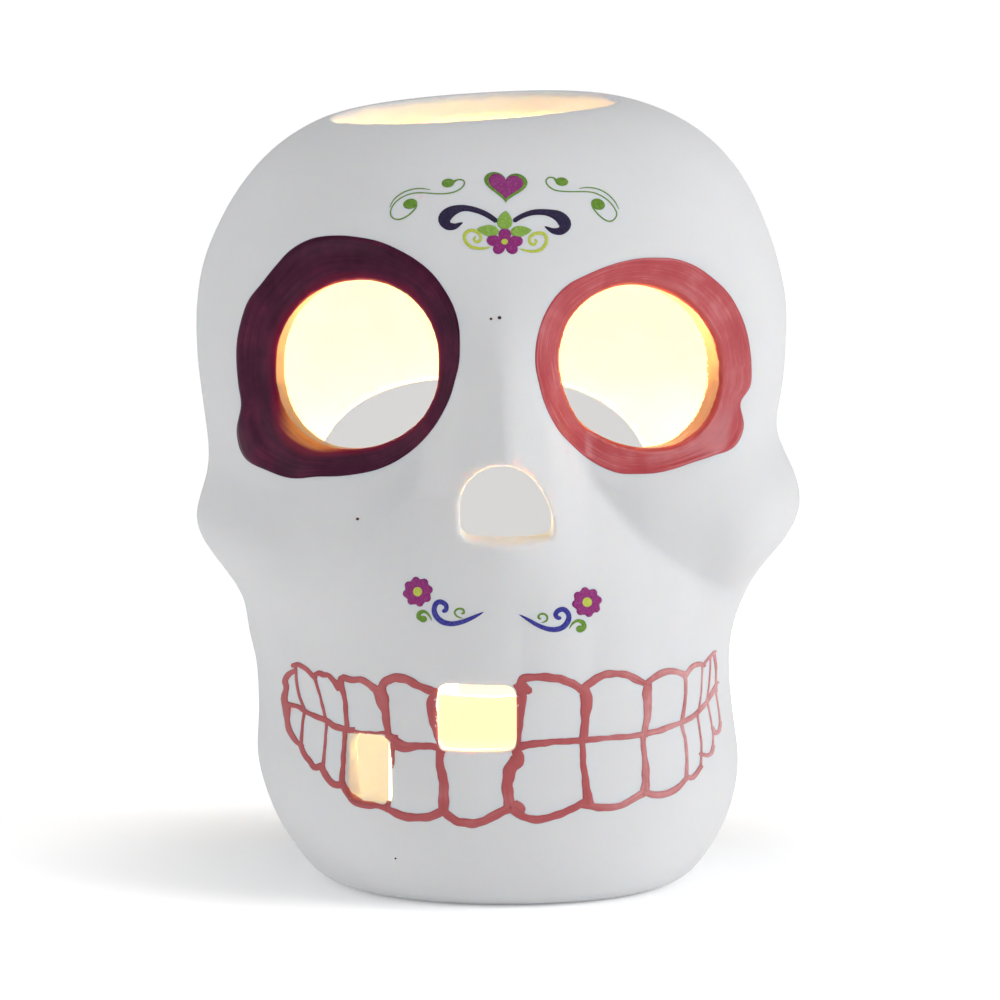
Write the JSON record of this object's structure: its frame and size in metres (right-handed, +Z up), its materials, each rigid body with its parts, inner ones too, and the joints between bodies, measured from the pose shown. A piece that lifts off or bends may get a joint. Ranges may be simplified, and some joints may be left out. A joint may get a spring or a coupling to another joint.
{
  "type": "skull lantern",
  "caption": "Hollow ceramic sugar skull lantern with open crown, cut-out eyes, nose and missing teeth, and a battery tealight that lifts out of it.",
  "frame": {"origin": "middle of the footprint's bounding box, on the table", "axes": "+Z up through the crown, the face looks along -Y, +X towards the viewer's right"},
  "size_m": [0.1048, 0.1174, 0.1362],
  "materials": {
    "bisque_ceramic": "matte white slip-cast bisque, sponged edges, hand-painted rings and tooth outlines, transfer ornaments",
    "ring_glaze": "brushed aubergine glaze round the eyes, semi-gloss, with coral showing at its edges",
    "line_glaze": "brushed coral glaze, streaky, semi-gloss",
    "transfer_print": "fired-on transfer ornaments in magenta, indigo, greens and blue",
    "white_plastic": "satin injection-moulded polypropylene",
    "flame_plastic": "translucent warm flame lens, lit from inside",
    "led_epoxy": "clear epoxy dome, lit",
    "tinned_lead": "tinned wire",
    "circuit_board": "green solder mask on glass fibre",
    "zinc_screw": "zinc-plated steel",
    "black_plastic": "satin black",
    "contact_strip": "nickel-plated spring strip",
    "coin_cell_can": "drawn stainless can"
  },
  "bodies": {
    "skull": {"skull_shell": "bisque_ceramic"},
    "tealight": {"tealight_housing": "white_plastic", "flame_lens": "flame_plastic", "led": "led_epoxy", "led_lead_anode": "tinned_lead", "led_lead_cathode": "tinned_lead", "circuit_board": "circuit_board", "board_screw_left": "zinc_screw", "board_screw_right": "zinc_screw", "switch_body": "black_plastic", "contact_positive": "contact_strip", "contact_negative": "contact_strip", "coin_cell": "coin_cell_can", "base_plate": "white_plastic"},
    "switch_slider": {"switch_slider": "black_plastic"},
    "battery_cap": {"battery_cap": "white_plastic"}
  },
  "joints": [
    {"name": "tealight_lift", "type": "slide", "parent": "skull", "child": "tealight", "axis": [0, 0, 1], "range_m": [0, 0.15]},
    {"name": "switch_slide", "type": "slide", "parent": "tealight", "child": "switch_slider", "axis": [1, 0, 0], "range_m": [0, 0.002]},
    {"name": "battery_cap_twist", "type": "hinge", "parent": "tealight", "child": "battery_cap", "pos_m": [-0.00056, 0.00295, 0.0105], "axis": [0, 0, -1], "range_deg": [0, 40]}
  ]
}
